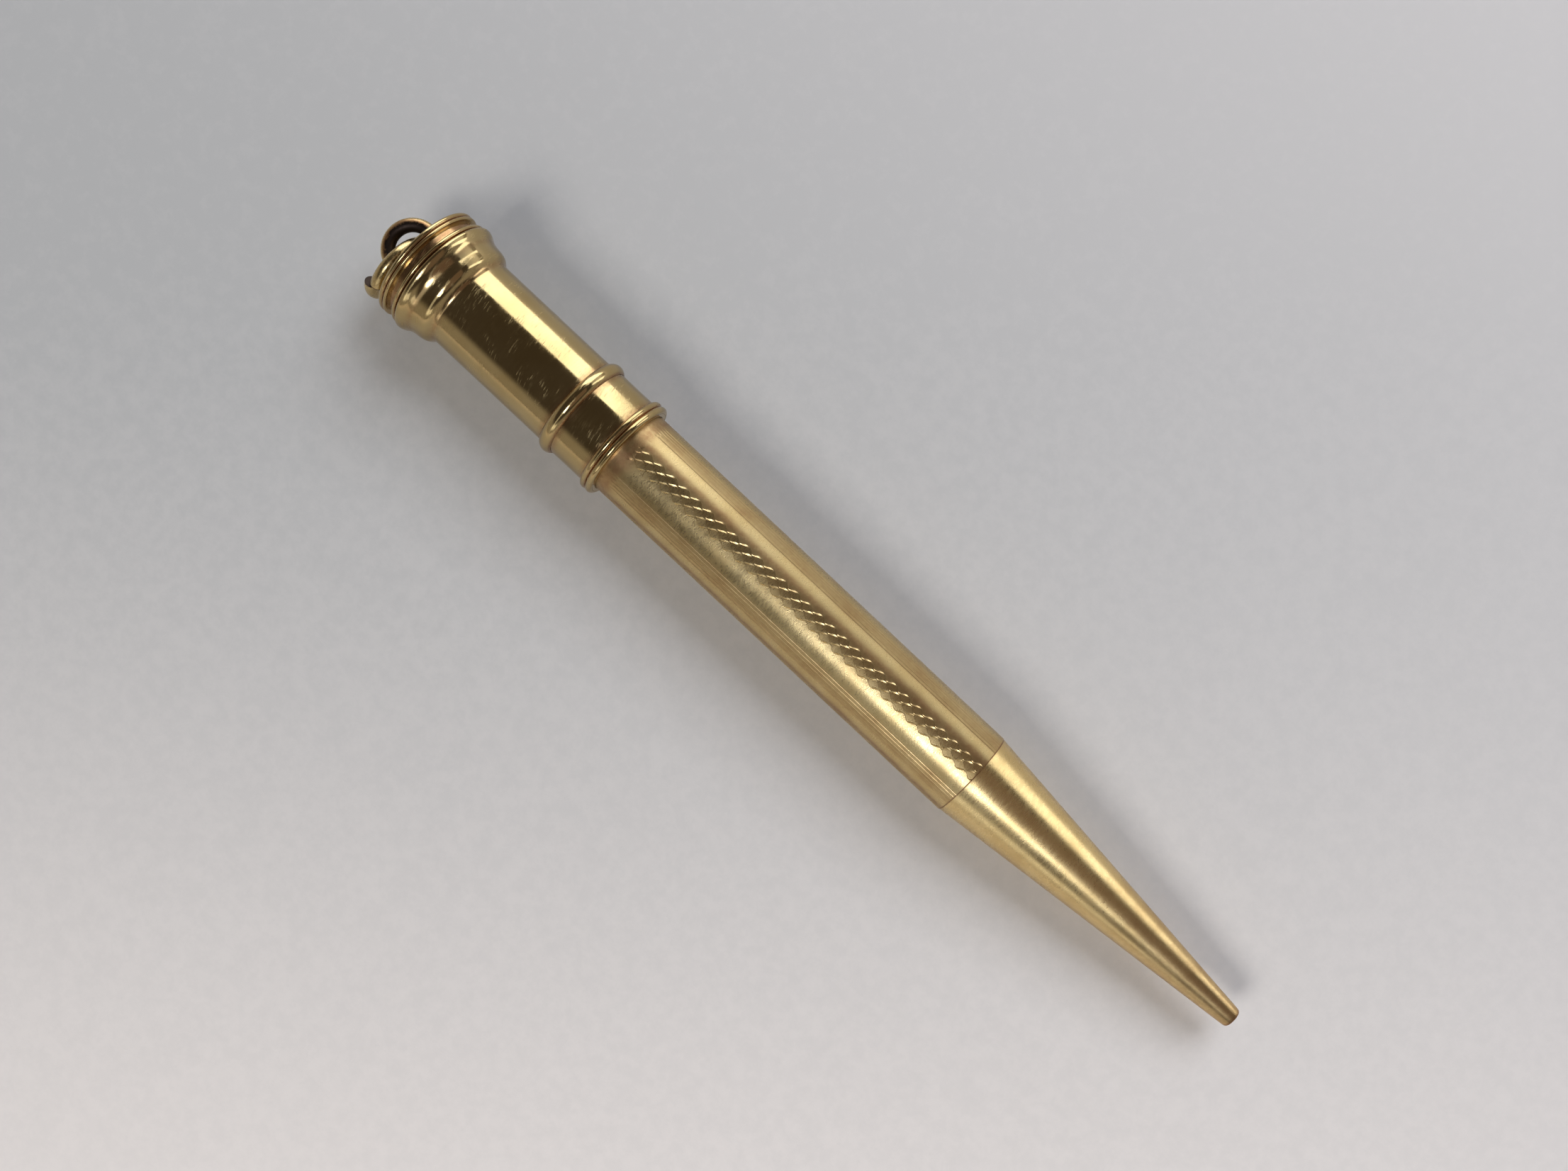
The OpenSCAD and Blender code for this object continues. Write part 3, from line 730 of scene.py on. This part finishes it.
def make_eraser():
    """The rubber plug, rounded at its free end."""
    low, high = node_box("eraser")
    outline = [(high.x, high.z)]
    outline += arc((low.x + ERASER_ROUND, high.z - ERASER_ROUND), ERASER_ROUND, 90, 180)
    dress(lathe("eraser_plug", outline, solid=True), "drive", "eraser", "rubber")


def dress_inner_nodes():
    """Gives the CAD pieces that stay their own materials."""
    finishes = {
        "brass": (
            "nose_bush", "lead_tube", "guide_tube", "rear_bush", "spiral_tube", "drive_head",
            "friction_sleeve", "magazine_tube", "eraser_cup", "lead_clutch",
        ),
        "steel": ("retaining_collar", "carrier", "carrier_lug", "push_rod"),
        "graphite": ("spare_leads",),
    }
    for slot, names in finishes.items():
        for name in names:
            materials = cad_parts[name].data.materials
            materials.clear()
            materials.append(FINISH[slot])


def make_floor():
    """A pale plane that touches the bell and the front of the barrel."""
    bell_r = node_box("cap_tube")[1].z
    barrel_box = node_box("barrel_tube")
    slope = (bell_r - barrel_box[1].z) / (barrel_box[1].x - BULGE_X)
    corners = [(-1, -1), (1, -1), (1, 1), (-1, 1)]
    points = []
    for corner in corners:
        x, y = FLOOR_HALF * corner[0], FLOOR_HALF * corner[1]
        points.append(Vector((x, y, slope * (x - BULGE_X) - bell_r)) * MM)
    mesh = bpy.data.meshes.new("floor")
    mesh.from_pydata(points, [], [(0, 1, 2, 3)])
    mesh.materials.append(floor_card())
    floor = bpy.data.objects.new("floor", mesh)
    bpy.context.scene.collection.objects.link(floor)


def make_camera():
    """Looks straight down, with the frame shifted along the pencil as it is in the photograph."""
    data = bpy.data.cameras.new("camera")
    data.sensor_width = SENSOR_WIDTH
    data.lens = SENSOR_WIDTH * FOCAL_PIXELS / PHOTO_WIDTH
    data.clip_start = 0.01
    data.clip_end = 20
    back = Vector((0, 0, 1))
    right = CAMERA_UP.cross(back)
    offset = (FRAME_MIDDLE - CAMERA_AT) * FOCAL_PIXELS / CAMERA_AT.z / PHOTO_WIDTH
    data.shift_x = right.dot(offset)
    data.shift_y = CAMERA_UP.dot(offset)
    camera = bpy.data.objects.new("camera", data)
    bpy.context.scene.collection.objects.link(camera)
    turn = Matrix((right, CAMERA_UP, back)).transposed().to_4x4()
    camera.matrix_world = Matrix.Translation(CAMERA_AT * MM) @ turn
    bpy.context.scene.camera = camera


def make_lamp(name, at, towards, size, radiance, colour, in_metal):
    """An even rectangular lamp, in metres, that shows in the metal or else lights the matt surfaces."""
    data = bpy.data.lights.new(name, "AREA")
    data.shape = "RECTANGLE"
    data.size, data.size_y = size
    data.energy = radiance * math.pi * size[0] * size[1]
    data.color = colour
    lamp = bpy.data.objects.new(name, data)
    bpy.context.scene.collection.objects.link(lamp)
    lamp.location = at
    lamp.rotation_euler = (Vector(towards) - Vector(at)).to_track_quat("-Z", "Y").to_euler()
    lamp.visible_camera = False
    lamp.visible_glossy = in_metal
    lamp.visible_diffuse = not in_metal


def make_lamps():
    """Windows on the +Y side, lamps overhead, a low lamp opposite, and two soft lamps for the floor.

    Each is given as name, place, the point that it faces, size, radiance and colour.
    """
    for_metal = [
        ("window_rear", (-0.59, 0.55, 0.28), (-0.59, 0, 0.28), (1.00, 0.56), 2.7, COOL),
        ("window_post", (0.055, 0.55, 0.266), (0.055, 0, 0.266), (0.29, 0.36), 0.52, COOL),
        ("window_front", (0.30, 0.55, 0.21), (0.30, 0, 0.21), (0.20, 0.42), 2.2, COOL),
        ("ceiling_lamp", (0.20, -0.37, 0.87), (0.20, 0, 0), (0.14, 0.30), 12, SKY),
        ("ceiling_glow", (0.165, -0.55, 0.75), (0.165, 0, 0), (0.20, 1.60), 0.60, COOL),
        ("ceiling_tail", (0.36, -0.41, 0.87), (0.36, 0, 0), (0.18, 0.20), 4.5, COOL),
        ("warm_panel", (0.50, 0.20, 0.95), (0.50, 0.20, 0), (0.95, 1.00), 0.13, WARM),
        ("low_lamp", (0.255, -0.6, 0.20), (0.255, 0, 0.20), (0.33, 0.17), 0.8, COOL),
    ]
    for_floor = [
        ("floor_key", (0.042, 0.42, 0.43), (0.042, 0, 0), (0.37, 0.37), 5.0, MORNING),
        ("floor_fill", (0.042, -0.38, 0.465), (0.042, 0, 0), (0.22, 0.22), 9.7, EVENING),
    ]
    for facts in for_metal:
        make_lamp(*facts, in_metal=True)
    for facts in for_floor:
        make_lamp(*facts, in_metal=False)


def make_world():
    """Grey walls under a dark ceiling, so that polished metal has something to show."""
    world = bpy.data.worlds.new("studio")
    bpy.context.scene.world = world
    world.use_nodes = True
    nodes = Nodes(world.node_tree)
    direction = nodes.add("SeparateXYZ")
    nodes.put(direction.inputs[0], nodes.add("TexCoord").outputs["Generated"])
    room = nodes.mix(nodes.spread(direction.outputs["Z"], WALL_TOP, CEILING_FROM), WALL, CEILING)
    seen = nodes.add("LightPath").outputs["Is Camera Ray"]
    background = world.node_tree.nodes["Background"]
    nodes.put(background.inputs["Color"], nodes.mix(seen, room, BACKDROP))


FINISH = {
    "gold_satin": gold(
        "gold_satin", tone=0.93, shine=0.24, dull=0.28, brush=(7, 1.2, 4), brush_depth=0.001,
        scratch_depth=0.0024, scuff=0.05, patina=0.10,
    ),
    "gold_engraved": gold(
        "gold_engraved", tone=0.77, shine=0.24, dull=0.29, brush=(9, 2, 4), brush_depth=0.001,
        scratch_depth=0.0025, scuff=0.05, patina=0.12,
    ),
    "gold_polished": gold(
        "gold_polished", tone=0.67, shine=0.08, dull=0.12, brush=(9, 0.5, 4), brush_depth=0.0006,
        scratch_depth=0.001, scuff=0.26, patina=0.05,
    ),
    "gold_wire": gold(
        "gold_wire", tone=0.75, shine=0.16, dull=0.28, brush=(7, 2, 4), brush_depth=0.001,
        scratch_depth=0.003, scuff=0.05, patina=0.20,
    ),
    "brass": turned_metal("brass", BRASS, BRASS_DEEP, shine=0.24),
    "steel": turned_metal("steel", STEEL, STEEL_DEEP, shine=0.28),
    "graphite": matt("graphite", GRAPHITE, GRAPHITE_DEEP, roughness=0.42, grain=9.0, depth=0.01),
    "rubber": matt("rubber", RUBBER, RUBBER_DEEP, roughness=0.75, grain=6.0, depth=0.03),
}

make_camera()
make_floor()
make_lamps()
make_world()
make_nose()
make_barrel()
make_band()
make_lip_bead()
make_upper_bead()
make_cap()
make_crown()
make_bow()
make_jump_ring()
make_lead()
make_eraser()
dress_inner_nodes()

bpy.context.scene.view_settings.view_transform = "Standard"
